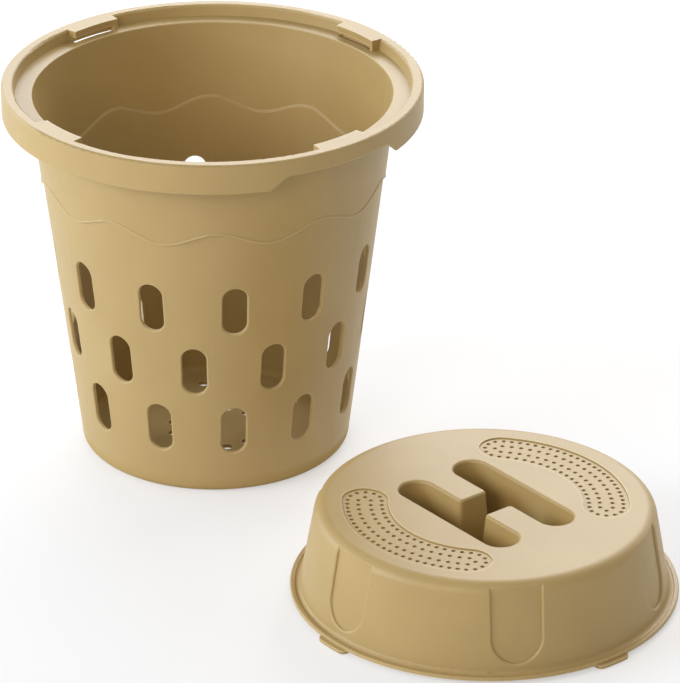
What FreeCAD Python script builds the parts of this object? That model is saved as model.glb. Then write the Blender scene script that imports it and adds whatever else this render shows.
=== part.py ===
"""In-ground compost bin: a slotted tub and the twist-lock lid that stands beside it.

Millimetres, +Z up. The origin is on the tub's axis, at the underside of its base. +X runs through one
of the two finger cut-outs in the rim's skirt and through the axis of the lid.
"""
import FreeCAD
import Part
import Sketcher
import math
import os
import re

DIMENSIONS = {
    # Tub wall and base. The wall leans out to meet the rim some way inside its outer face.
    "base_radius": 93.5,
    "base_fillet": 7.0,
    "floor_thick": 3.0,
    "wall_thick": 2.5,
    # Drain holes in the base, in two rings with as many holes as a row of slots.
    "drain_diameter": 8.0,
    "drain_inner_ring": 31.0,
    "drain_outer_ring": 70.0,
    # Slots in the wall, in three rows, the middle one turned by half a pitch.
    "slot_count": 12,
    "slot_width": 17.0,
    "slot_height": 36.2,
    "slot_edge_radius": 1.1,
    "slot_row_low": 50.7,
    "slot_row_pitch": 48.0,
    # Wavy step, above which the wall stands further out: a slanted band, with a round bead over it outside.
    "wave_drop": 66.6,
    "wave_rise": 4.9,
    "wave_count": 10,
    "wave_step": 1.1,
    "wave_band": 1.8,
    "wave_lap": 4.0,
    "bead_height": 2.2,
    "bead_reach": 0.6,
    # Rim: ledge inside the mouth, upstand, flat top and outer skirt.
    "rim_radius": 145.0,
    "rim_top": 270.5,
    "rim_overhang": 18.75,
    "rim_band": 8.0,
    "rim_thick": 2.2,
    "rim_draft": 1.4,
    "rim_edge_radius": 1.8,
    "ledge_drop": 8.0,
    "mouth_edge_radius": 0.9,
    "skirt_height": 21.4,
    "skirt_edge_radius": 1.4,
    # Finger cut-outs in the skirt: a flat top, then a ramp with a wide bend above and a tight one below.
    "grip_rise": 9.1,
    "grip_half_width": 38.1,
    "grip_ramp_angle": 40.0,
    "grip_bend": 12.0,
    "grip_corner": 2.0,
    # Catch tabs over windows in the ledge, each with a stop wall at one end.
    "tab_count": 4,
    "tab_turn": 2.2,
    "tab_span": 16.6,
    "tab_reach": 7.0,
    "tab_thick": 4.8,
    "stop_span": 1.1,
    # Lid: where it stands, dome, and flange with a raised lip.
    "lid_gap": 14.7,
    "lid_aside": 2.2,
    "lid_height": 63.7,
    "lid_wall": 3.2,
    "lid_side_slope": 0.1792,
    "lid_shoulder_radius": 9.0,
    "flange_gap": 0.3,
    "flange_width": 5.65,
    "flange_bottom": 2.6,
    "flange_thick": 1.5,
    "flange_root_radius": 3.0,
    "lip_width": 3.4,
    "lip_height": 0.7,
    "lip_outer_radius": 1.2,
    "lip_inner_radius": 0.6,
    # Lugs under the flange, which turn under the tabs.
    "lug_count": 4,
    "lug_span": 11.9,
    "lug_reach": 2.9,
    "lug_depth": 7.8,
    "lug_corner_radius": 4.5,
    "lug_foot_radius": 0.8,
    # Flutes down the side of the dome.
    "flute_count": 6,
    "flute_turn": 30.0,
    "flute_width": 33.0,
    "flute_bottom": 10.3,
    "flute_depth": 1.8,
    "flute_edge_radius": 1.5,
    # Grip recess: two slots joined by a trench, in a closed cup under the lid's top.
    "recess_end_gap": 57.6,
    "recess_width": 24.6,
    "recess_spacing": 47.4,
    "trench_width": 24.2,
    "recess_depth": 42.0,
    "recess_draft": 4.0,
    "recess_edge_radius": 2.0,
    "tongue_corner_radius": 3.0,
    "cup_wall": 2.5,
    # Vent plates: kidney-shaped, pushed up into windows from below.
    "vent_margin": 17.3,
    "vent_width": 30.6,
    "vent_half_angle": 42.0,
    "vent_sink": 0.9,
    "vent_clearance": 0.1,
    "vent_flange_width": 3.5,
    "vent_flange_thick": 1.5,
    "vent_hole_diameter": 3.0,
    "vent_hole_inset": 4.0,
    "vent_row_offset": 4.15,
    "vent_tip_offset": 4.5,
}

# Sizes that follow from others, so that neighbours keep together when one of them changes.
DERIVED = {
    "wall_slope": "(rim_radius - rim_overhang - base_radius) / rim_top",
    "wave_height": "rim_top - wave_drop",
    "skirt_bottom": "rim_top - skirt_height",
    "grip_top": "skirt_bottom + grip_rise",
    "grip_edge": "grip_half_width + (grip_bend + grip_corner) * sin(grip_ramp_angle * 1 deg)"
                 " + (grip_rise - (grip_bend + grip_corner) * (1 - cos(grip_ramp_angle * 1 deg)))"
                 " / tan(grip_ramp_angle * 1 deg)",
    "tab_radius": "rim_radius - rim_band - tab_reach",
    "flange_radius": "tab_radius - flange_gap",
    "lug_radius": "flange_radius + lug_reach",
    "lug_inner_radius": "lug_radius - lug_depth",
    "lid_side_radius": "flange_radius - flange_width",
    "lid_top_radius": "lid_side_radius - lid_side_slope * lid_height",
    "lid_distance": "rim_radius + lug_radius + lid_gap",
    "recess_length": "2 * (lid_top_radius - recess_end_gap)",
    "vent_outer_radius": "lid_top_radius - vent_margin",
    "vent_inner_radius": "vent_outer_radius - vent_width",
}

SHEET = "dims"
LENGTH_TOLERANCE = 0.05
CORNER_REACH = 1.0
WAVE_POINTS_PER_CYCLE = 8
BEAD_FACETS = 8
# The heights between which the wall is made together with the wave.
WAVE_BAND_LOW = "wave_height - wave_rise - wave_lap"
WAVE_BAND_HIGH = "wave_height + wave_rise + wave_lap"
# Gaps between the holes of a vent plate: along its four arcs, from the inmost out, and round each end.
VENT_ROW_GAPS = (17, 17, 19, 24)
VENT_END_GAPS = 6

doc = FreeCAD.newDocument("compost_bin")
sheet = doc.addObject("Spreadsheet::Sheet", SHEET)
for row, (alias, number) in enumerate(DIMENSIONS.items(), 1):
    sheet.set(f"A{row}", alias)
    sheet.set(f"B{row}", str(number))
    sheet.setAlias(f"B{row}", alias)
doc.recompute()


def bound(expression):
    """The expression with each size, a word with an underscore, read from the sheet or worked out from it."""
    def source(match):
        word = match.group()
        return f"({bound(DERIVED[word])})" if word in DERIVED else f"{SHEET}.{word}"
    return re.sub(r"\b[a-z]+(?:_[a-z]+)+\b", source, expression)


def size(expression):
    """The number that an expression of aliases has now."""
    return float(sheet.evalExpression(bound(expression)))


def bind(target, **properties):
    """Bind properties of an object to expressions of aliases."""
    for name, expression in properties.items():
        target.setExpression(name, bound(expression))


def new_body(name):
    """An empty body."""
    return doc.addObject("PartDesign::Body", name)


def origin_feature(body, role):
    """A plane or axis of the body's own origin."""
    return next(item for item in body.Origin.OriginFeatures if item.Role == role)


def new_sketch(body, name, plane, lift="0", turn="0", turn_axis=(0, 1, 0)):
    """A sketch on an origin plane, lifted along the plane's normal and turned about a sketch axis."""
    sketch = body.newObject("Sketcher::SketchObject", name)
    sketch.AttachmentSupport = (origin_feature(body, plane), [""])
    sketch.MapMode = "FlatFace"
    rotation = FreeCAD.Rotation(FreeCAD.Vector(*turn_axis), size(turn))
    sketch.AttachmentOffset = FreeCAD.Placement(FreeCAD.Vector(0, 0, size(lift)), rotation)
    if lift != "0":
        bind(sketch, **{"AttachmentOffset.Base.z": lift})
    if turn != "0":
        bind(sketch, **{"AttachmentOffset.Rotation.Angle": f"({turn}) * 1 deg"})
    return sketch


def constrain(sketch, expression, kind, *points):
    """Add a dimension to a sketch, bound to an expression of aliases."""
    index = sketch.addConstraint(Sketcher.Constraint(kind, *points, size(expression)))
    sketch.setExpression(f"Constraints[{index}]", bound(expression))


def fix_point(sketch, item, vertex, x, y):
    """Hold a point of a sketch's item at a place given by two expressions."""
    constrain(sketch, x, "DistanceX", -1, 1, item, vertex)
    constrain(sketch, y, "DistanceY", -1, 1, item, vertex)


def draw_outline(sketch, corners):
    """A closed outline of straight lines through corners given as pairs of expressions."""
    points = [FreeCAD.Vector(size(x), size(y), 0) for x, y in corners]
    ends = points[1:] + points[:1]
    lines = [sketch.addGeometry(Part.LineSegment(*pair)) for pair in zip(points, ends)]
    for line, following in zip(lines, lines[1:] + lines[:1]):
        sketch.addConstraint(Sketcher.Constraint("Coincident", line, 2, following, 1))
    for line, (x, y) in zip(lines, corners):
        fix_point(sketch, line, 1, x, y)


def draw_arc(sketch, centre, radius, start, end):
    """An arc from one angle to another, in degrees, anticlockwise. Returns its index."""
    circle = Part.Circle(FreeCAD.Vector(*centre, 0), FreeCAD.Vector(0, 0, 1), radius)
    return sketch.addGeometry(Part.ArcOfCircle(circle, math.radians(start), math.radians(end)))


def draw_obround(sketch, width, length, centre=("0", "0"), upright=False):
    """A slot outline with round ends, along the sketch's x axis, or along y when upright."""
    cx, cy = (size(part) for part in centre)
    radius, reach = size(width) / 2, (size(length) - size(width)) / 2
    along = (0, 1) if upright else (1, 0)
    base = 90 if upright else 0
    far = draw_arc(sketch, (cx + reach * along[0], cy + reach * along[1]), radius, base - 90, base + 90)
    near = draw_arc(sketch, (cx - reach * along[0], cy - reach * along[1]), radius, base + 90, base + 270)
    upper = sketch.addGeometry(Part.LineSegment(sketch.getPoint(far, 2), sketch.getPoint(near, 1)))
    lower = sketch.addGeometry(Part.LineSegment(sketch.getPoint(near, 2), sketch.getPoint(far, 1)))
    joints = [(far, 2, upper, 1), (upper, 2, near, 1), (near, 2, lower, 1), (lower, 2, far, 1)]
    for joint in joints:
        sketch.addConstraint(Sketcher.Constraint("Tangent", *joint))
    constrain(sketch, f"({width}) / 2", "Radius", far)
    for arc, sign in ((far, "+"), (near, "-")):
        shift = f"{sign} (({length}) - ({width})) / 2"
        x = centre[0] if upright else f"{centre[0]} {shift}"
        y = f"{centre[1]} {shift}" if upright else centre[1]
        fix_point(sketch, arc, 3, x, y)


def draw_kidney(sketch, margin):
    """A ring sector with round ends, centred on the sketch's x axis and grown by a margin."""
    inner, outer = f"vent_inner_radius - ({margin})", f"vent_outer_radius + ({margin})"
    middle, half = "(vent_inner_radius + vent_outer_radius) / 2", size("vent_half_angle")
    cap = f"(vent_outer_radius - vent_inner_radius) / 2 + ({margin})"
    reach = [size(middle) * turn(math.radians(half)) for turn in (math.cos, math.sin)]
    outside = draw_arc(sketch, (0, 0), size(outer), -half, half)
    head = draw_arc(sketch, reach, size(cap), half, half + 180)
    inside = draw_arc(sketch, (0, 0), size(inner), -half, half)
    tail = draw_arc(sketch, (reach[0], -reach[1]), size(cap), 180 - half, 360 - half)
    for joint in ((outside, 2, head, 1), (head, 2, inside, 2), (inside, 1, tail, 1), (tail, 2, outside, 1)):
        sketch.addConstraint(Sketcher.Constraint("Tangent", *joint))
    for arc in (outside, inside):
        sketch.addConstraint(Sketcher.Constraint("Coincident", arc, 3, -1, 1))
    constrain(sketch, outer, "Radius", outside)
    across = f"{middle} * sin(vent_half_angle * 1 deg)"
    fix_point(sketch, head, 3, f"{middle} * cos(vent_half_angle * 1 deg)", across)
    constrain(sketch, f"-{across}", "DistanceY", -1, 1, tail, 3)


def draw_cut_out(sketch):
    """The finger cut-out: a flat top between two ramps, each bent at both ends, open below the skirt."""
    foot = "skirt_bottom - rim_thick"
    corners = [
        ("-grip_edge", foot),
        ("grip_edge", foot),
        ("grip_edge", "skirt_bottom"),
        ("grip_half_width", "grip_top"),
        ("-grip_half_width", "grip_top"),
        ("-grip_edge", "skirt_bottom"),
    ]
    points = [FreeCAD.Vector(size(x), size(y), 0) for x, y in corners]
    sides = [(0, 1), (1, 2), (3, 4), (5, 0)]
    lines = [sketch.addGeometry(Part.LineSegment(points[start], points[end])) for start, end in sides]
    bottom, right, top, left = lines
    for line, (start, end) in zip(lines, sides):
        fix_point(sketch, line, 1, *corners[start])
    fix_point(sketch, right, 2, *corners[2])
    fix_point(sketch, top, 2, *corners[4])
    sketch.addConstraint(Sketcher.Constraint("Coincident", bottom, 2, right, 1))
    sketch.addConstraint(Sketcher.Constraint("Coincident", left, 2, bottom, 1))

    turn, low, high = size("grip_ramp_angle"), size("grip_corner"), size("grip_bend")
    for side, sign, upright, low_end, top_end in ((1, "", right, 2, 1), (-1, "-", left, 1, 2)):
        low_centre = (side * size("grip_edge"), size("skirt_bottom") + low)
        high_centre = (side * size("grip_half_width"), size("grip_top") - high)
        spans = ((270 - turn, 270), (90 - turn, 90)) if side > 0 else ((270, 270 + turn), (90, 90 + turn))
        corner = draw_arc(sketch, low_centre, low, *spans[0])
        bend = draw_arc(sketch, high_centre, high, *spans[1])
        at_upright, at_ramp = (2, 1) if side > 0 else (1, 2)
        ends = sketch.getPoint(corner, at_ramp), sketch.getPoint(bend, at_ramp)
        ramp = sketch.addGeometry(Part.LineSegment(*ends))
        sketch.addConstraint(Sketcher.Constraint("Coincident", corner, at_upright, upright, low_end))
        sketch.addConstraint(Sketcher.Constraint("Coincident", bend, at_upright, top, top_end))
        constrain(sketch, "grip_corner", "Radius", corner)
        constrain(sketch, "grip_bend", "Radius", bend)
        constrain(sketch, f"{sign}grip_edge", "DistanceX", -1, 1, corner, 3)
        constrain(sketch, f"{sign}grip_half_width", "DistanceX", -1, 1, bend, 3)
        sketch.addConstraint(Sketcher.Constraint("Tangent", corner, at_ramp, ramp, 1))
        sketch.addConstraint(Sketcher.Constraint("Tangent", ramp, 2, bend, at_ramp))


def feature(body, kind, name, sketch, **expressions):
    """Add a feature made from a sketch, with its sizes bound to expressions."""
    item = body.newObject(f"PartDesign::{kind}", name)
    item.Profile = sketch
    if kind in ("Revolution", "Groove"):
        item.ReferenceAxis = (sketch, ["V_Axis"])
        item.Midplane = "Angle" in expressions and expressions["Angle"] != "360"
    bind(item, **expressions)
    return item


def polar(body, name, originals, count):
    """Repeat features, or the whole body when none are named, evenly round its Z axis."""
    pattern = body.newObject("PartDesign::PolarPattern", name)
    if originals:
        pattern.Originals = originals
    else:
        pattern.TransformMode = "Whole shape"
    pattern.Axis = (origin_feature(body, "Z_Axis"), [""])
    pattern.Angle = 360
    bind(pattern, Occurrences=count)
    body.Tip = pattern
    doc.recompute()
    return pattern


def round_edges(body, name, radius, test):
    """Round every edge of the body's tip that passes a test."""
    doc.recompute()
    base = body.Tip
    names = [f"Edge{index}" for index, edge in enumerate(base.Shape.Edges, 1) if test(edge)]
    if not names:
        raise RuntimeError(f"{name} finds no edge to round")
    fillet = body.newObject("PartDesign::Fillet", name)
    fillet.Base = (base, names)
    bind(fillet, Radius=radius)
    doc.recompute()
    return fillet


def circle_at(radius, height):
    """A test for round edges about Z with a given radius and height."""
    def test(edge):
        curve = edge.Curve
        return (curve.TypeId == "Part::GeomCircle"
                and abs(curve.Radius - size(radius)) < LENGTH_TOLERANCE
                and abs(curve.Center.z - size(height)) < LENGTH_TOLERANCE
                and math.hypot(curve.Center.x, curve.Center.y) < LENGTH_TOLERANCE)
    return test


def middle_of(edge):
    """The point halfway along an edge."""
    return edge.valueAt((edge.FirstParameter + edge.LastParameter) / 2)


def joined(kind, name, base, tool):
    """A boolean of two objects."""
    item = doc.addObject(f"Part::{kind}", name)
    item.Base, item.Tool = base, tool
    item.Refine = True
    doc.recompute()
    return item


def wall_radius(height, outward="0"):
    """Expression for the tub wall's outer radius at a height."""
    return f"base_radius + wall_slope * ({height}) + ({outward})"


def make_lower_tub():
    """Base and wall up to the wave: one wedge with its slots and drain holes, repeated."""
    body = new_body("lower_tub")
    wedge_middle = "90 / slot_count"
    profile = new_sketch(body, "lower_tub_profile", "XZ_Plane", turn=wedge_middle)
    draw_outline(profile, [
        ("0", "0"),
        ("base_radius", "0"),
        (wall_radius(WAVE_BAND_LOW), WAVE_BAND_LOW),
        (wall_radius(WAVE_BAND_LOW, "-wall_thick"), WAVE_BAND_LOW),
        (wall_radius("floor_thick", "-wall_thick"), "floor_thick"),
        ("0", "floor_thick"),
    ])
    feature(body, "Revolution", "wedge", profile, Angle="360 / slot_count")
    round_edges(body, "base_rounding", "base_fillet", circle_at("base_radius", "0"))
    inner_corner = circle_at(wall_radius("floor_thick", "-wall_thick"), "floor_thick")
    round_edges(body, "floor_rounding", "base_fillet - wall_thick", inner_corner)

    for ring, turn in (("drain_inner_ring", wedge_middle), ("drain_outer_ring", "0")):
        sketch = new_sketch(body, f"{ring}_sketch", "XY_Plane", turn=turn, turn_axis=(0, 0, 1))
        centre = FreeCAD.Vector(size(ring), 0, 0)
        circle = Part.Circle(centre, FreeCAD.Vector(0, 0, 1), size("drain_diameter") / 2)
        hole = sketch.addGeometry(circle)
        constrain(sketch, "drain_diameter / 2", "Radius", hole)
        fix_point(sketch, hole, 3, ring, "0")
        drain = feature(body, "Pocket", f"{ring}_drain", sketch, Length="2 * floor_thick")
        drain.Reversed = True

    for index, turn in enumerate(("0", "180 / slot_count", "0")):
        sketch = new_sketch(body, f"slot_sketch_{index}", "YZ_Plane", turn=turn)
        height = f"slot_row_low + {index} * slot_row_pitch"
        draw_obround(sketch, "slot_width", "slot_height", ("0", height), upright=True)
        slot = feature(body, "Pocket", f"slot_{index}", sketch, Length="rim_radius")
        slot.Reversed = True

    lowest = size("slot_row_low - slot_height")
    highest = size("slot_row_low + 2 * slot_row_pitch + slot_height")

    def outer_slot_edge(edge):
        middle = middle_of(edge)
        on_wall = math.hypot(middle.x, middle.y) - size(wall_radius(str(middle.z)))
        in_rows = lowest < middle.z < highest
        return edge.Curve.TypeId != "Part::GeomLine" and in_rows and abs(on_wall) < LENGTH_TOLERANCE

    round_edges(body, "slot_rounding", "slot_edge_radius", outer_slot_edge)
    polar(body, "wedges", [], "slot_count")
    return body


def make_collar():
    """Wall from the wave up, with the rim, its tabs, windows and finger cut-outs."""
    body = new_body("collar")
    ledge = "rim_top - ledge_drop"
    under_ledge = "rim_top - ledge_drop - rim_thick"
    under_top = "rim_top - rim_thick"
    upstand = "rim_radius - rim_band"
    mouth = wall_radius(ledge, "wave_step - wall_thick")
    profile = new_sketch(body, "collar_profile", "XZ_Plane")
    draw_outline(profile, [
        (wall_radius(WAVE_BAND_HIGH, "wave_step - wall_thick"), WAVE_BAND_HIGH),
        (wall_radius(WAVE_BAND_HIGH, "wave_step"), WAVE_BAND_HIGH),
        (wall_radius(under_ledge, "wave_step"), under_ledge),
        (f"{upstand} - rim_draft + rim_thick", under_ledge),
        (f"{upstand} + rim_thick", under_top),
        ("rim_radius - rim_thick", under_top),
        ("rim_radius - rim_thick", "skirt_bottom"),
        ("rim_radius", "skirt_bottom"),
        ("rim_radius", "rim_top"),
        (upstand, "rim_top"),
        (f"{upstand} - rim_draft", ledge),
        (mouth, ledge),
    ])
    feature(body, "Revolution", "collar_turned", profile, Angle="360")
    round_edges(body, "rim_outer_rounding", "rim_edge_radius", circle_at("rim_radius", "rim_top"))
    round_edges(body, "rim_inner_rounding", "rim_edge_radius", circle_at(upstand, "rim_top"))
    round_edges(body, "mouth_rounding", "mouth_edge_radius", circle_at(mouth, ledge))

    tab_sketch = new_sketch(body, "tab_sketch", "XZ_Plane", turn="tab_turn")
    tab_root = f"{upstand} + rim_thick"
    draw_outline(tab_sketch, [
        ("tab_radius", "rim_top - tab_thick"),
        (tab_root, "rim_top - tab_thick"),
        (tab_root, "rim_top"),
        ("tab_radius", "rim_top"),
    ])
    tab = feature(body, "Revolution", "tab", tab_sketch, Angle="tab_span")
    stop_sketch = new_sketch(body, "stop_sketch", "XZ_Plane", turn="tab_turn - (tab_span - stop_span) / 2")
    draw_outline(stop_sketch, [
        ("tab_radius", under_ledge),
        (f"{upstand} - rim_draft + rim_thick", under_ledge),
        (f"{upstand} - rim_draft + rim_thick", "rim_top - tab_thick / 2"),
        ("tab_radius", "rim_top - tab_thick / 2"),
    ])
    stop = feature(body, "Revolution", "stop", stop_sketch, Angle="stop_span")
    window_sketch = new_sketch(body, "window_sketch", "XZ_Plane", turn="tab_turn + stop_span / 2")
    draw_outline(window_sketch, [
        ("tab_radius", f"{under_ledge} - rim_thick"),
        (f"{upstand} - rim_draft", f"{under_ledge} - rim_thick"),
        (f"{upstand} - rim_draft", ledge),
        ("tab_radius", ledge),
    ])
    window = feature(body, "Groove", "window", window_sketch, Angle="tab_span - stop_span")
    polar(body, "tabs", [tab, stop, window], "tab_count")

    wall_clear = wall_radius("rim_top", "wave_step")
    grip_sketch = new_sketch(body, "grip_sketch", "YZ_Plane", lift=wall_clear)
    draw_cut_out(grip_sketch)
    grip = feature(body, "Pocket", "grip", grip_sketch, Length="rim_radius")
    grip.Reversed = True
    polar(body, "grips", [grip], "2")

    def skirt_lip(edge):
        middle = middle_of(edge)
        outside = abs(math.hypot(middle.x, middle.y) - size("rim_radius")) < LENGTH_TOLERANCE
        below = middle.z < size("grip_top") + LENGTH_TOLERANCE
        return outside and below and edge.Curve.TypeId != "Part::GeomLine"

    round_edges(body, "skirt_rounding", "skirt_edge_radius", skirt_lip)
    return body


def level_ring(height, outward):
    """A ring round the wall at a height, as one arc for each cycle of the wave."""
    radius, turn = size(wall_radius(height, outward)), 360 / int(size("wave_count"))
    centre, up = FreeCAD.Vector(0, 0, size(height)), FreeCAD.Vector(0, 0, 1)
    return [Part.makeCircle(radius, centre, up, index * turn, (index + 1) * turn)
            for index in range(int(size("wave_count")))]


def wavy_ring(lift, outward):
    """A ring that follows the wave round the wall, lifted and moved outward, as one curve for each cycle."""
    count, rise, level = int(size("wave_count")), size("wave_rise"), size("wave_height") + lift
    base, slope = size("base_radius") + outward, size("wall_slope")

    def point(steps):
        angle = 2 * math.pi * steps / (count * WAVE_POINTS_PER_CYCLE)
        height = level + rise * math.cos(count * angle)
        reach = base + slope * height
        return FreeCAD.Vector(reach * math.cos(angle), reach * math.sin(angle), height)

    def along(cycle):
        angle = 2 * math.pi * cycle / count
        return FreeCAD.Vector(-math.sin(angle), math.cos(angle), 0)

    ring = []
    for cycle in range(count):
        first = cycle * WAVE_POINTS_PER_CYCLE
        points = [point(step) for step in range(first, first + WAVE_POINTS_PER_CYCLE + 1)]
        curve = Part.BSplineCurve()
        curve.interpolate(Points=points, InitialTangent=along(cycle), FinalTangent=along(cycle + 1))
        ring.append(curve.toShape())
    return ring


def make_wave_band():
    """The stretch of wall with the wave: a round bead over the step outside and a slanted ledge inside."""
    wall, step, ledge = size("wall_thick"), size("wave_step"), size("wave_band") / 2
    half, crest = size("bead_height") / 2, size("wave_step + bead_reach")
    rings = [level_ring(WAVE_BAND_LOW, "0")]
    for index in range(BEAD_FACETS + 1):
        turn = math.pi * (index / BEAD_FACETS - 1 / 2)
        foot = 0 if turn < 0 else step
        rings.append(wavy_ring(half * math.sin(turn), foot + (crest - foot) * math.cos(turn)))
    rings += [
        level_ring(WAVE_BAND_HIGH, "wave_step"),
        level_ring(WAVE_BAND_HIGH, "wave_step - wall_thick"),
        wavy_ring(ledge, step - wall),
        wavy_ring(-ledge, -wall),
        level_ring(WAVE_BAND_LOW, "-wall_thick"),
    ]
    faces = [Part.makeRuledSurface(*edges)
             for ring, following in zip(rings, rings[1:] + rings[:1])
             for edges in zip(ring, following)]
    skin = Part.makeCompound(faces)
    skin.sewShape()
    band = doc.addObject("Part::Feature", "wave_band")
    band.Shape = Part.makeSolid(skin.Shells[0])
    return band


def make_bin():
    """The tub in one piece: the lower tub, the stretch of wall with the wave, and the collar."""
    waved = joined("Fuse", "waved_tub", make_lower_tub(), make_wave_band())
    return joined("Fuse", "bin", waved, make_collar())


def lid_radius(height, outward="0"):
    """Expression for the dome side's outer radius at a height above the floor."""
    return f"lid_side_radius - lid_side_slope * ({height}) + ({outward})"


def make_lid_dome():
    """Dome, flange, grip cup and vent windows, on the lid's own axis."""
    body = new_body("lid_dome")
    flange_top = "flange_bottom + flange_thick"
    lip_top = f"{flange_top} + lip_height"
    lip_foot = "flange_radius - lip_width"
    under_top = "lid_height - lid_wall"
    profile = new_sketch(body, "lid_profile", "XZ_Plane")
    draw_outline(profile, [
        (lid_radius("flange_bottom", "-lid_wall"), "flange_bottom"),
        ("flange_radius", "flange_bottom"),
        ("flange_radius", lip_top),
        (lip_foot, lip_top),
        (lip_foot, flange_top),
        (lid_radius(flange_top), flange_top),
        ("lid_top_radius", "lid_height"),
        ("0", "lid_height"),
        ("0", under_top),
        (lid_radius(under_top, "-lid_wall"), under_top),
    ])
    feature(body, "Revolution", "lid_turned", profile, Angle="360")
    shoulder = circle_at("lid_top_radius", "lid_height")
    round_edges(body, "shoulder_rounding", "lid_shoulder_radius", shoulder)
    inside_shoulder = circle_at(lid_radius(under_top, "-lid_wall"), under_top)
    round_edges(body, "inside_shoulder_rounding", "lid_shoulder_radius - lid_wall", inside_shoulder)
    round_edges(body, "flange_root", "flange_root_radius", circle_at(lid_radius(flange_top), flange_top))
    round_edges(body, "lip_outer_edge", "lip_outer_radius", circle_at("flange_radius", lip_top))
    round_edges(body, "lip_inner_edge", "lip_inner_radius", circle_at(lip_foot, lip_top))

    cup_start = "lid_height - lid_wall / 2"
    cup_drop = "recess_depth + cup_wall - lid_wall / 2"
    spacing = "recess_spacing / 2"
    for name, kind, grow, level, length in (
            ("cup", "Pad", "cup_wall", cup_start, cup_drop),
            ("recess", "Pocket", "0", "lid_height", "recess_depth")):
        slots = new_sketch(body, f"{name}_slots_sketch", "XY_Plane", lift=level)
        for side in ("", "-"):
            draw_obround(slots, f"recess_width + 2 * {grow}", f"recess_length + 2 * {grow}",
                         ("0", f"{side}{spacing}"))
        trench = new_sketch(body, f"{name}_trench_sketch", "XY_Plane", lift=level)
        half = f"trench_width / 2 + {grow}"
        draw_outline(trench, [
            (f"-({half})", f"-{spacing}"),
            (half, f"-{spacing}"),
            (half, spacing),
            (f"-({half})", spacing),
        ])
        for part, sketch in (("slots", slots), ("trench", trench)):
            item = feature(body, kind, f"{name}_{part}", sketch, Length=length, TaperAngle="-recess_draft")
            item.Reversed = kind == "Pad"
    lean = "recess_depth / 2 * tan(recess_draft * 1 deg)"
    corner = (f"trench_width / 2 - {lean}", f"(recess_spacing - recess_width) / 2 + {lean}")

    def tongue_corner(edge):
        middle = middle_of(edge)
        off_x, off_y = abs(middle.x) - size(corner[0]), abs(middle.y) - size(corner[1])
        return math.hypot(off_x, off_y) < CORNER_REACH and edge.Length > size("recess_depth") / 2

    def recess_rim(edge):
        middle = middle_of(edge)
        on_top = edge.BoundBox.ZMin > size("lid_height") - LENGTH_TOLERANCE
        inside = math.hypot(middle.x, middle.y) < size("vent_inner_radius")
        return on_top and inside

    round_edges(body, "tongue_corners", "tongue_corner_radius", tongue_corner)
    round_edges(body, "recess_rounding", "recess_edge_radius", recess_rim)

    window_sketch = new_sketch(body, "vent_window_sketch", "XY_Plane", "lid_height", "90", (0, 0, 1))
    draw_kidney(window_sketch, "vent_clearance")
    window = feature(body, "Pocket", "vent_window", window_sketch, Length="lid_wall")
    polar(body, "vent_windows", [window], "2")
    return body


def make_lugs():
    """The lugs under the flange, round at their outer corners and feet."""
    body = new_body("lugs")
    body.AllowCompound = True
    sketch = new_sketch(body, "lug_sketch", "XZ_Plane")
    draw_outline(sketch, [
        ("lug_inner_radius", "0"),
        ("lug_radius", "0"),
        ("lug_radius", "flange_bottom"),
        ("lug_inner_radius", "flange_bottom"),
    ])
    feature(body, "Revolution", "lug", sketch, Angle="lug_span")

    def outer_corner(edge):
        middle = middle_of(edge)
        outside = abs(math.hypot(middle.x, middle.y) - size("lug_radius")) < LENGTH_TOLERANCE
        return outside and edge.Curve.TypeId == "Part::GeomLine"

    def foot(edge):
        middle = middle_of(edge)
        outside = math.hypot(middle.x, middle.y) > size("lug_inner_radius") + LENGTH_TOLERANCE
        return outside and edge.BoundBox.ZMax < LENGTH_TOLERANCE

    round_edges(body, "lug_corners", "lug_corner_radius", outer_corner)
    round_edges(body, "lug_feet", "lug_foot_radius", foot)
    polar(body, "lug_ring", [], "lug_count")
    return body


def make_flutes():
    """The shallow upright recesses in the side of the dome."""
    ring_body = new_body("flute_ring")
    ring_sketch = new_sketch(ring_body, "flute_ring_sketch", "XZ_Plane")
    draw_outline(ring_sketch, [
        (lid_radius("0", "-flute_depth"), "0"),
        ("lug_radius", "0"),
        ("lug_radius", "2 * lid_height"),
        (lid_radius("2 * lid_height", "-flute_depth"), "2 * lid_height"),
    ])
    feature(ring_body, "Revolution", "flute_ring_turned", ring_sketch, Angle="360")

    star_body = new_body("flute_star")
    star_sketch = new_sketch(star_body, "flute_star_sketch", "YZ_Plane", turn="flute_turn")
    middle = ("0", "flute_bottom + lid_height")
    draw_obround(star_sketch, "flute_width", "2 * lid_height", middle, upright=True)
    ray = feature(star_body, "Pad", "flute_ray", star_sketch, Length="lug_radius")
    polar(star_body, "flute_rays", [ray], "flute_count")
    return joined("Common", "flutes", ring_body, star_body)


def make_lid():
    """The lid in one piece, standing on its lugs beside the tub."""
    lugged = joined("Fuse", "lugged_lid", make_lid_dome(), make_lugs())
    fluted = joined("Cut", "fluted_lid", lugged, make_flutes())
    lowest, highest = size("flute_bottom"), size("lid_height - lid_shoulder_radius")

    def flute_edge(edge):
        middle = middle_of(edge)
        on_side = abs(math.hypot(middle.x, middle.y) - size(lid_radius(str(middle.z)))) < LENGTH_TOLERANCE
        in_reach = lowest - LENGTH_TOLERANCE < middle.z < highest
        return on_side and in_reach and edge.Curve.TypeId != "Part::GeomLine"

    numbers = [index for index, edge in enumerate(fluted.Shape.Edges, 1) if flute_edge(edge)]
    radius = size("flute_edge_radius")
    lid = doc.addObject("Part::Fillet", "lid")
    lid.Base = fluted
    lid.Edges = [(number, radius, radius) for number in numbers]
    bind(lid, **{"Placement.Base.x": "lid_distance", "Placement.Base.y": "lid_aside"})
    return lid


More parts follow.
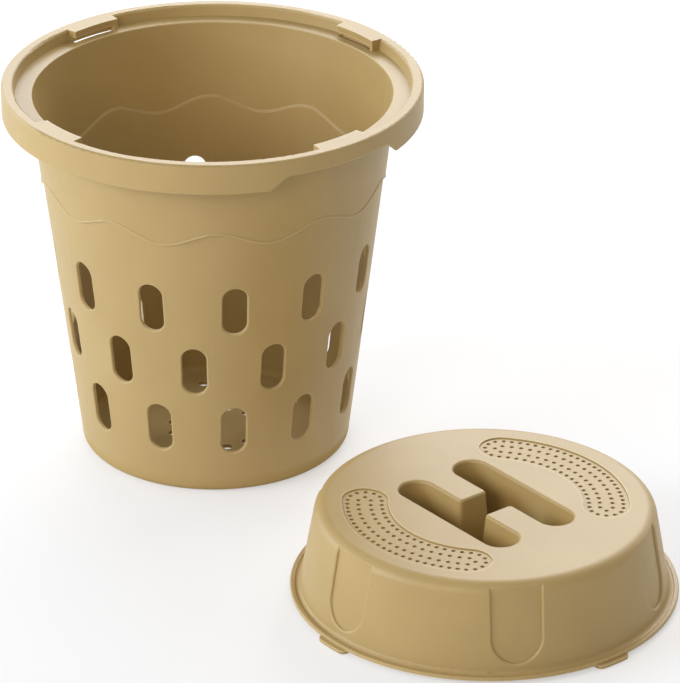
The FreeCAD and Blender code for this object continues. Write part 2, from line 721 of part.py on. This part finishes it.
def kidney_holes():
    """Hole centres of a vent plate: four arcs, the round ends that join two of them, and one in each end."""
    middle = size("vent_inner_radius + vent_outer_radius") / 2
    half = math.radians(size("vent_half_angle"))
    loop = size("vent_width / 2 - vent_hole_inset")
    row, tip = size("vent_row_offset"), size("vent_tip_offset")
    points = []
    for offset, gaps in zip((-loop, -row, row, loop), VENT_ROW_GAPS):
        for index in range(gaps + 1):
            turn = half * (2 * index / gaps - 1)
            points.append(((middle + offset) * math.cos(turn), (middle + offset) * math.sin(turn)))
    for side in (1, -1):
        end_x, end_y = middle * math.cos(half), side * middle * math.sin(half)
        places = [(loop, index / VENT_END_GAPS) for index in range(1, VENT_END_GAPS)] + [(tip, 1 / 2)]
        for reach, share in places:
            turn = side * (half + math.pi * share)
            points.append((end_x + reach * math.cos(turn), end_y + reach * math.sin(turn)))
    return points


def make_vent_plate(name, side):
    """A perforated plate: a kidney that fills its window, over a wider flange under the lid's top."""
    body = new_body(f"{name}_blank")
    under_top = "lid_height - lid_wall"
    boss_sketch = new_sketch(body, f"{name}_boss_sketch", "XY_Plane", under_top)
    draw_kidney(boss_sketch, "0")
    feature(body, "Pad", f"{name}_boss", boss_sketch, Length="lid_wall - vent_sink")
    flange_sketch = new_sketch(body, f"{name}_flange_sketch", "XY_Plane", under_top)
    draw_kidney(flange_sketch, "vent_flange_width")
    flange = feature(body, "Pad", f"{name}_flange", flange_sketch, Length="vent_flange_thick")
    flange.Reversed = True

    bottom = size("lid_height - lid_wall - 2 * vent_flange_thick")
    drill = size("lid_wall + 3 * vent_flange_thick")
    pins = doc.addObject("Part::Feature", f"{name}_pins")
    pins.Shape = Part.makeCompound([
        Part.makeCylinder(size("vent_hole_diameter") / 2, drill, FreeCAD.Vector(x, y, bottom))
        for x, y in kidney_holes()])
    plate = joined("Cut", name, body, pins)
    turn = FreeCAD.Rotation(FreeCAD.Vector(0, 0, 1), side * 90)
    plate.Placement = FreeCAD.Placement(FreeCAD.Vector(size("lid_distance"), size("lid_aside"), 0), turn)
    bind(plate, **{"Placement.Base.x": "lid_distance", "Placement.Base.y": "lid_aside"})
    return plate


def write_parts(parts):
    """Check the document and write each sub-part to a file named after it."""
    doc.recompute()
    for item in doc.Objects:
        if {"Invalid", "Error"} & set(item.State):
            raise RuntimeError(f"{item.Name} failed: {item.State}")
    os.makedirs("parts", exist_ok=True)
    for item in parts:
        shape = item.Shape
        if shape.isNull() or not shape.isValid():
            raise RuntimeError(f"{item.Label} has no valid shape")
        print(f"{item.Label}: {len(shape.Solids)} solid, {shape.Volume / 1000:.1f} cm3, {shape.BoundBox}")
    for item in parts:
        item.Shape.exportStep(f"parts/{item.Label}.step")


write_parts([
    make_bin(),
    make_lid(),
    make_vent_plate("vent_plate_left", -1),
    make_vent_plate("vent_plate_right", 1),
])
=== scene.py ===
"""In-ground compost bin with its lid standing in front of it, dressed as the photograph shows it.

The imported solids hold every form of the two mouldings, so this script gives them their finishes,
stands them on a pale floor in soft studio light, and sets the camera at the photograph's viewing
angle. Lengths are in metres, except where a name ends in mm.
"""

import logging
import math
from dataclasses import dataclass
from enum import Enum, IntEnum
from typing import Any, Mapping

import bmesh
import bpy
from mathutils import Matrix, Vector


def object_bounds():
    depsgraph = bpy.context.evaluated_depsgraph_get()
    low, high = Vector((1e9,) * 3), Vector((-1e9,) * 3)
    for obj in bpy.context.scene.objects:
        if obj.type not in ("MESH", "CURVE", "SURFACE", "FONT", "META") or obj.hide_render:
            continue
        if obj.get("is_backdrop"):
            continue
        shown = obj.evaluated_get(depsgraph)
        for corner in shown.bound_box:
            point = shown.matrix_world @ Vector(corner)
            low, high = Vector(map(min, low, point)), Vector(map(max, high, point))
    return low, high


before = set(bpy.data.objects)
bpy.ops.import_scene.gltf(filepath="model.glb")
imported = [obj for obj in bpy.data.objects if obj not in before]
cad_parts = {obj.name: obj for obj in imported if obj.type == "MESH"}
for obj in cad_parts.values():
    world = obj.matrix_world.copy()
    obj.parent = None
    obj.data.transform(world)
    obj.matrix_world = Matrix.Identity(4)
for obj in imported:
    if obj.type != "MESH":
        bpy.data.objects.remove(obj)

Tree = bpy.types.NodeTree
Socket = bpy.types.NodeSocket

LOG = logging.getLogger("compost_bin")
MM = 0.001
IMAGE_WIDTH, IMAGE_HEIGHT = 680, 683
SENSOR_WIDTH = 36.0
WHITE = "#ffffff"

# The sRGB curve is straight up to its toe and a power above it.
SRGB_TOE, SRGB_TOE_SLOPE, SRGB_OFFSET, SRGB_POWER = 0.04045, 12.92, 0.055, 2.4

# Where most values of a noise lie, so that a pattern uses its full strength.
NOISE_LOW, NOISE_MIDDLE, NOISE_HIGH = 0.3, 0.5, 0.7
LINES_LOW, LINES_HIGH = 0.25, 0.75
# The share of rays into the solid that stay inside it, at a sharp edge and on a plain wall.
EDGE_INSIDE, WALL_INSIDE = 0.5, 0.95


class Solid(Enum):
    """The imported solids, by their node names."""

    TUB = "bin"
    DOME = "lid"
    LEFT_VENT = "vent_plate_left"
    RIGHT_VENT = "vent_plate_right"


class ColourMix(IntEnum):
    """Places of the sockets of a colour mix, whose names repeat."""

    SHARE = 0
    FIRST = 6
    SECOND = 7
    RESULT = 2


class ShaderMix(IntEnum):
    """Places of the inputs of a shader mix, whose names repeat."""

    SHARE = 0
    FIRST = 1
    SECOND = 2


class Operand(IntEnum):
    """Places of the two inputs of a calculation, whose names repeat."""

    FIRST = 0
    SECOND = 1


def linear(colour: str) -> tuple[float, float, float, float]:
    """Turns an sRGB hex colour into the linear values that shaders take.

    Args:
        colour: The colour as "#rrggbb".

    Returns:
        Linear red, green, blue and an alpha of 1.
    """
    channels = [int(colour[i:i + 2], 16) / 255 for i in (1, 3, 5)]
    red, green, blue = (
        c / SRGB_TOE_SLOPE if c <= SRGB_TOE
        else ((c + SRGB_OFFSET) / (1 + SRGB_OFFSET)) ** SRGB_POWER
        for c in channels
    )
    return red, green, blue, 1.0


def per_metre(size_mm: float) -> float:
    """Gives the pattern scale whose features are about size_mm across."""
    return 1 / (size_mm * MM)


def add_node(
    tree: Tree,
    kind: str,
    options: Mapping[str, Any] | None = None,
    values: Mapping[int | str, Any] | None = None,
    links: Mapping[int | str, Socket] | None = None,
) -> bpy.types.Node:
    """Adds one shader node with its settings and its incoming links.

    Args:
        tree: The node tree that gets the node.
        kind: Blender's name for the node type.
        options: Properties of the node itself.
        values: Default values of its input sockets, by name or index.
        links: Output sockets that feed its inputs, by name or index.

    Returns:
        The new node.
    """
    node = tree.nodes.new(kind)
    for key, value in (options or {}).items():
        setattr(node, key, value)
    for key, value in (values or {}).items():
        node.inputs[key].default_value = value
    for key, source in (links or {}).items():
        tree.links.new(source, node.inputs[key])
    return node


def blank_material(name: str) -> tuple[bpy.types.Material, Tree]:
    """Makes a node material with an empty tree.

    Args:
        name: The material's name.

    Returns:
        The material and its tree.
    """
    material = bpy.data.materials.new(name)
    material.use_nodes = True
    material.node_tree.nodes.clear()
    return material, material.node_tree


@dataclass(frozen=True)
class MouldedPolypropylene:
    """Tan polypropylene, injection moulded in a finely etched steel tool.

    To the eye this is a satin skin: a soft wide highlight, an even fine grain from the etched
    steel, faint clouds of tone where the melt flowed, and fainter drag lines along the draw, where
    the part slid off its core. A painted highlight lightens its outer edges, so that slots, beads
    and flutes have a fine light outline.
    """

    name: str
    tone: str = "#ad945f"
    pale_tone: str = "#b09762"
    deep_tone: str = "#aa915c"
    cloud_mm: float = 60.0
    cloud_detail: float = 3.0
    cloud_raggedness: float = 0.55
    fleck_mm: float = 2.6
    fleck_detail: float = 2.0
    fleck_raggedness: float = 0.6
    fleck_share: float = 0.12
    # The paler tone that is painted along the outer edges as a highlight.
    edge_highlight_tone: str = "#d2be92"
    # Less than the thinnest wall, so that only edges count as thin.
    edge_mm: float = 1.2
    # 0 stands for no painted edge highlight.
    edge_highlight_share: float = 0.8
    edge_rays: int = 8
    # Etched grain is about 0.2 mm across, too fine for the render, so it is drawn at 1.3 mm.
    grain_mm: float = 1.3
    grain_detail: float = 1.0
    grain_raggedness: float = 0.4
    grain_height_mm: float = 0.012
    drag_spacing_mm: float = 1.8
    drag_length_mm: float = 70.0
    drag_detail: float = 2.0
    roughness: float = 0.47
    roughness_spread: float = 0.05
    # Up to this height the skin is matt, as from a sand-blasted end of the core. 0 stands for none.
    matt_floor_mm: float = 0.0
    # The matt skin has faded out at this many times that height.
    matt_fade: float = 1.5
    matt_roughness: float = 0.92
    ior: float = 1.49

    def clouded_tone(self, tree: Tree, place: Socket) -> Socket:
        """Adds the tan with its clouds and flecks.

        Args:
            tree: The material's tree.
            place: Where on the piece the surface point lies.

        Returns:
            The colour.
        """
        clouds = add_node(
            tree, "ShaderNodeTexNoise",
            values={
                "Scale": per_metre(self.cloud_mm),
                "Detail": self.cloud_detail,
                "Roughness": self.cloud_raggedness,
            },
            links={"Vector": place},
        ).outputs["Fac"]
        tones = add_node(tree, "ShaderNodeValToRGB", links={"Fac": clouds})
        first, last = tones.color_ramp.elements
        first.position, first.color = NOISE_LOW, linear(self.deep_tone)
        last.position, last.color = NOISE_HIGH, linear(self.pale_tone)
        tones.color_ramp.elements.new(NOISE_MIDDLE).color = linear(self.tone)
        flecks = add_node(
            tree, "ShaderNodeTexNoise",
            values={
                "Scale": per_metre(self.fleck_mm),
                "Detail": self.fleck_detail,
                "Roughness": self.fleck_raggedness,
            },
            links={"Vector": place},
        ).outputs["Fac"]
        fleck_share = add_node(
            tree, "ShaderNodeMapRange",
            values={
                "From Min": NOISE_LOW, "From Max": NOISE_HIGH,
                "To Min": 0.0, "To Max": self.fleck_share,
            },
            links={"Value": flecks},
        ).outputs["Result"]
        return add_node(
            tree, "ShaderNodeMix", options={"data_type": "RGBA"},
            values={ColourMix.SECOND: linear(self.deep_tone)},
            links={ColourMix.SHARE: fleck_share, ColourMix.FIRST: tones.outputs["Color"]},
        ).outputs[ColourMix.RESULT]

    def painted_edge_highlight(self, tree: Tree, colour: Socket) -> Socket:
        """Adds the painted highlight: a paler tone along the outer edges.

        Args:
            tree: The material's tree.
            colour: The colour away from the edges.

        Returns:
            The colour everywhere.
        """
        # Rays into the solid leave it soon near an outer edge, and there the painted highlight is
        # mixed in.
        inside = add_node(
            tree, "ShaderNodeAmbientOcclusion",
            options={"inside": True, "only_local": True, "samples": self.edge_rays},
            values={"Distance": self.edge_mm * MM},
        ).outputs["AO"]
        share = add_node(
            tree, "ShaderNodeMapRange",
            values={
                "From Min": EDGE_INSIDE, "From Max": WALL_INSIDE,
                "To Min": self.edge_highlight_share, "To Max": 0.0,
            },
            links={"Value": inside},
        ).outputs["Result"]
        return add_node(
            tree, "ShaderNodeMix", options={"data_type": "RGBA"},
            values={ColourMix.SECOND: linear(self.edge_highlight_tone)},
            links={ColourMix.SHARE: share, ColourMix.FIRST: colour},
        ).outputs[ColourMix.RESULT]

    def dragged_gloss(self, tree: Tree, place: Socket) -> Socket:
        """Adds the satin gloss with its drag lines.

        Args:
            tree: The material's tree.
            place: Where on the piece the surface point lies.

        Returns:
            The roughness.
        """
        stretched = add_node(
            tree, "ShaderNodeMapping",
            values={"Scale": (1.0, 1.0, self.drag_spacing_mm / self.drag_length_mm)},
            links={"Vector": place},
        ).outputs["Vector"]
        lines = add_node(
            tree, "ShaderNodeTexNoise",
            values={"Scale": per_metre(self.drag_spacing_mm), "Detail": self.drag_detail},
            links={"Vector": stretched},
        ).outputs["Fac"]
        return add_node(
            tree, "ShaderNodeMapRange",
            values={
                "From Min": LINES_LOW, "From Max": LINES_HIGH,
                "To Min": self.roughness - self.roughness_spread,
                "To Max": self.roughness + self.roughness_spread,
            },
            links={"Value": lines},
        ).outputs["Result"]

    def matt_floor(self, tree: Tree, place: Socket, gloss: Socket) -> Socket:
        """Adds the matt skin of the floor.

        Args:
            tree: The material's tree.
            place: Where on the piece the surface point lies.
            gloss: The roughness above the floor.

        Returns:
            The roughness everywhere.
        """
        height = add_node(tree, "ShaderNodeSeparateXYZ", links={"Vector": place}).outputs["Z"]
        matt_height = self.matt_floor_mm * MM
        return add_node(
            tree, "ShaderNodeMapRange",
            values={
                "From Min": matt_height, "From Max": self.matt_fade * matt_height,
                "To Min": self.matt_roughness,
            },
            links={"Value": height, "To Max": gloss},
        ).outputs["Result"]

    def etched_skin(self, tree: Tree, place: Socket) -> Socket:
        """Adds the fine grain of the etched steel.

        Args:
            tree: The material's tree.
            place: Where on the piece the surface point lies.

        Returns:
            The normal.
        """
        grain = add_node(
            tree, "ShaderNodeTexNoise",
            values={
                "Scale": per_metre(self.grain_mm),
                "Detail": self.grain_detail,
                "Roughness": self.grain_raggedness,
            },
            links={"Vector": place},
        ).outputs["Fac"]
        return add_node(
            tree, "ShaderNodeBump",
            values={"Strength": 1.0, "Distance": self.grain_height_mm * MM},
            links={"Height": grain},
        ).outputs["Normal"]

    def build(self) -> bpy.types.Material:
        """Builds the finish.

        Returns:
            The material.
        """
        material, tree = blank_material(self.name)
        place = add_node(tree, "ShaderNodeTexCoord").outputs["Object"]
        colour = self.clouded_tone(tree, place)
        # Painted highlight along the outer edges.
        if self.edge_highlight_share > 0:
            colour = self.painted_edge_highlight(tree, colour)
        gloss = self.dragged_gloss(tree, place)
        if self.matt_floor_mm > 0:
            gloss = self.matt_floor(tree, place, gloss)
        shader = add_node(
            tree, "ShaderNodeBsdfPrincipled",
            values={"IOR": self.ior},
            links={
                "Base Color": colour,
                "Roughness": gloss,
                "Normal": self.etched_skin(tree, place),
            },
        )
        add_node(tree, "ShaderNodeOutputMaterial", links={"Surface": shader.outputs["BSDF"]})
        return material


def seen_directly(tree: Tree) -> Socket:
    """Adds nodes that give 1 for rays from the camera, reflections and glass, and 0 for light.

    Args:
        tree: The node tree that gets the nodes.

    Returns:
        The socket with that number.
    """
    path = add_node(tree, "ShaderNodeLightPath").outputs
    either = add_node(
        tree, "ShaderNodeMath", options={"operation": "MAXIMUM"},
        links={Operand.FIRST: path["Is Camera Ray"], Operand.SECOND: path["Is Glossy Ray"]},
    ).outputs["Value"]
    return add_node(
        tree, "ShaderNodeMath", options={"operation": "MAXIMUM"},
        links={Operand.FIRST: either, Operand.SECOND: path["Is Transmission Ray"]},
    ).outputs["Value"]


@dataclass(frozen=True)
class PaintedFloor:
    """Matt white paint on a smooth studio floor.

    To the eye it has no gloss, and it keeps the soft shadow of what stands on it.
    """

    name: str = "matt_white_paint"
    tone: str = "#f4f4f4"
    # The share of plain white that the viewer sees in place of the lit paint.
    glow_share: float = 0.5

    def build(self) -> bpy.types.Material:
        """Builds the finish.

        Returns:
            The material.
        """
        material, tree = blank_material(self.name)
        paint = add_node(tree, "ShaderNodeBsdfDiffuse", values={"Color": linear(self.tone)})
        white = add_node(tree, "ShaderNodeEmission", values={"Strength": 1.0})
        share = add_node(
            tree, "ShaderNodeMath", options={"operation": "MULTIPLY"},
            values={Operand.SECOND: self.glow_share},
            links={Operand.FIRST: seen_directly(tree)},
        ).outputs["Value"]
        mixed = add_node(
            tree, "ShaderNodeMixShader",
            links={
                ShaderMix.SHARE: share,
                ShaderMix.FIRST: paint.outputs["BSDF"],
                ShaderMix.SECOND: white.outputs["Emission"],
            },
        )
        add_node(tree, "ShaderNodeOutputMaterial", links={"Surface": mixed.outputs["Shader"]})
        return material


def dress(solid: Solid, material: bpy.types.Material) -> None:
    """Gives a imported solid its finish.

    Args:
        solid: The solid.
        material: Its finish.
    """
    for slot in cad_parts[solid.value].material_slots:
        slot.material = material
    LOG.info("%s wears %s", solid.value, material.name)


@dataclass
class Tub:
    """The perforated tub with its rolled rim and catch tabs."""

    wall: Solid = Solid.TUB
    finish: MouldedPolypropylene = MouldedPolypropylene(
        "moulded_polypropylene_tub", matt_floor_mm=8.0)

    def dress(self) -> None:
        """Gives the tub its finish."""
        dress(self.wall, self.finish.build())


@dataclass
class DomedLid:
    """The fluted lid with its grip recess and the two vent plates in it."""

    dome: Solid = Solid.DOME
    plates: tuple[Solid, ...] = (Solid.LEFT_VENT, Solid.RIGHT_VENT)
    finish: MouldedPolypropylene = MouldedPolypropylene("moulded_polypropylene_lid")
    # The plates get no painted edge highlight, so that the rims of their holes stay as dark as
    # the rest.
    plate_finish: MouldedPolypropylene = MouldedPolypropylene(
        "moulded_polypropylene_vent", roughness=0.49, edge_highlight_share=0.0)

    def dress(self) -> None:
        """Gives the lid and its plates their finishes."""
        dress(self.dome, self.finish.build())
        plate_material = self.plate_finish.build()
        for plate in self.plates:
            dress(plate, plate_material)


@dataclass(frozen=True)
class Softbox:
    """One rectangular studio lamp, placed by how the viewer sees it.

    The bearing turns clockwise seen from above: 0 is on the viewer's side, 90 to their left and
    180 behind the object. Angles are in degrees and the power is in watts.
    """

    name: str
    bearing: float
    elevation: float
    distance: float
    width: float
    height: float
    power: float
    tint: str

    def place(self, target: Vector, viewer: Vector) -> None:
        """Hangs the lamp so that it faces the object.

        Args:
            target: The point that the lamp faces.
            viewer: The direction from there to the camera, of length 1 and level.
        """
        lamp = bpy.data.lights.new(self.name, "AREA")
        lamp.shape = "RECTANGLE"
        lamp.size, lamp.size_y, lamp.energy = self.width, self.height, self.power
        lamp.color = linear(self.tint)[:3]
        hung = bpy.data.objects.new(self.name, lamp)
        level = Matrix.Rotation(-math.radians(self.bearing), 3, "Z") @ viewer
        rise = math.radians(self.elevation)
        towards = level * math.cos(rise) + Vector((0.0, 0.0, math.sin(rise)))
        hung.location = target + towards * self.distance
        hung.rotation_euler = (-towards).to_track_quat("-Z", "Y").to_euler()
        bpy.context.scene.collection.objects.link(hung)


@dataclass
class Viewpoint:
    """The camera that took the photograph, as its straight lines and circles give it."""

    position: tuple[float, float, float] = (2.4300, -1.8343, 1.5655)
    forward: tuple[float, float, float] = (-0.7005, 0.5612, -0.4408)
    # In radians.
    roll: float = 0.0026
    focal_pixels: float = 4818.19
    far_limit: float = 100.0

    def level_direction(self, target: Vector) -> Vector:
        """Gives the level direction from a point to the camera, of length 1."""
        away = Vector(self.position) - target
        return Vector((away.x, away.y, 0.0)).normalized()

    def place(self) -> None:
        """Sets up the camera and makes it the scene's own."""
        optics = bpy.data.cameras.new("photo_camera")
        optics.sensor_width = SENSOR_WIDTH
        optics.lens = self.focal_pixels * SENSOR_WIDTH / max(IMAGE_WIDTH, IMAGE_HEIGHT)
        optics.clip_end = self.far_limit
        camera = bpy.data.objects.new("photo_camera", optics)
        aim = Vector(self.forward).to_track_quat("-Z", "Y").to_matrix()
        turn = aim @ Matrix.Rotation(self.roll, 3, "Z")
        camera.matrix_world = Matrix.Translation(self.position) @ turn.to_4x4()
        bpy.context.scene.collection.objects.link(camera)
        bpy.context.scene.camera = camera


@dataclass
class Studio:
    """The floor, the lamps and the white surroundings.

    Lit sides of the object look slightly cool and shaded sides warm, and the tints follow that.
    """

    floor_radius: float = 9.0
    floor_sides: int = 96
    # The floor lies a hair below the feet, so that no two faces share a plane.
    floor_drop: float = 0.0002
    floor_finish: PaintedFloor = PaintedFloor()
    surround_strength: float = 0.35
    lamps: tuple[Softbox, ...] = (
        Softbox(
            "left_softbox", bearing=72.0, elevation=22.0, distance=2.4,
            width=1.2, height=1.0, power=36.5, tint="#e6f1ff"),
        Softbox(
            "low_left_softbox", bearing=125.0, elevation=14.0, distance=2.4,
            width=1.6, height=1.0, power=20.0, tint="#e9f2ff"),
        Softbox(
            "back_softbox", bearing=180.0, elevation=31.0, distance=2.8,
            width=2.4, height=0.9, power=57.0, tint="#f1f6ff"),
        Softbox(
            "back_right_softbox", bearing=215.0, elevation=35.0, distance=2.4,
            width=1.6, height=1.6, power=21.0, tint="#fff6ea"),
        Softbox(
            "front_softbox", bearing=25.0, elevation=27.0, distance=2.6,
            width=0.9, height=0.9, power=19.5, tint="#ffe9d0"),
    )

    def lay_floor(self) -> None:
        """Lays the round floor."""
        mesh = bpy.data.meshes.new("floor")
        work = bmesh.new()
        bmesh.ops.create_circle(
            work, cap_ends=True, segments=self.floor_sides, radius=self.floor_radius)
        bmesh.ops.translate(work, verts=work.verts, vec=(0.0, 0.0, -self.floor_drop))
        work.to_mesh(mesh)
        work.free()
        mesh.materials.append(self.floor_finish.build())
        floor = bpy.data.objects.new("floor", mesh)
        bpy.context.scene.collection.objects.link(floor)
        floor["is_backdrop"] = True
        LOG.info("%s wears %s", floor.name, self.floor_finish.name)

    def surround(self) -> None:
        """Fills the world with white, full where it is seen and softer where it is light."""
        world = bpy.data.worlds.new("white_surround")
        bpy.context.scene.world = world
        world.use_nodes = True
        tree = world.node_tree
        tree.nodes.clear()
        strength = add_node(
            tree, "ShaderNodeMapRange",
            values={"To Min": self.surround_strength, "To Max": 1.0},
            links={"Value": seen_directly(tree)},
        ).outputs["Result"]
        white = add_node(
            tree, "ShaderNodeBackground",
            values={"Color": linear(WHITE)}, links={"Strength": strength},
        )
        add_node(tree, "ShaderNodeOutputWorld", links={"Surface": white.outputs["Background"]})

    def light(self, target: Vector, viewer: Vector) -> None:
        """Hangs every lamp.

        Args:
            target: The point that the lamps face.
            viewer: The level direction from there to the camera.
        """
        for lamp in self.lamps:
            lamp.place(target, viewer)
            LOG.info("lamp %s hung", lamp.name)


def main() -> None:
    """Dresses the bin and its lid, and sets up the studio and the camera."""
    logging.basicConfig(level=logging.INFO)
    cad_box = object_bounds()
    Tub().dress()
    DomedLid().dress()
    viewpoint = Viewpoint()
    viewpoint.place()
    low, high = cad_box
    middle = (low + high) / 2
    studio = Studio()
    studio.lay_floor()
    studio.surround()
    studio.light(middle, viewpoint.level_direction(middle))
    bpy.context.scene.view_settings.view_transform = "Standard"


if __name__ == "__main__":
    main()
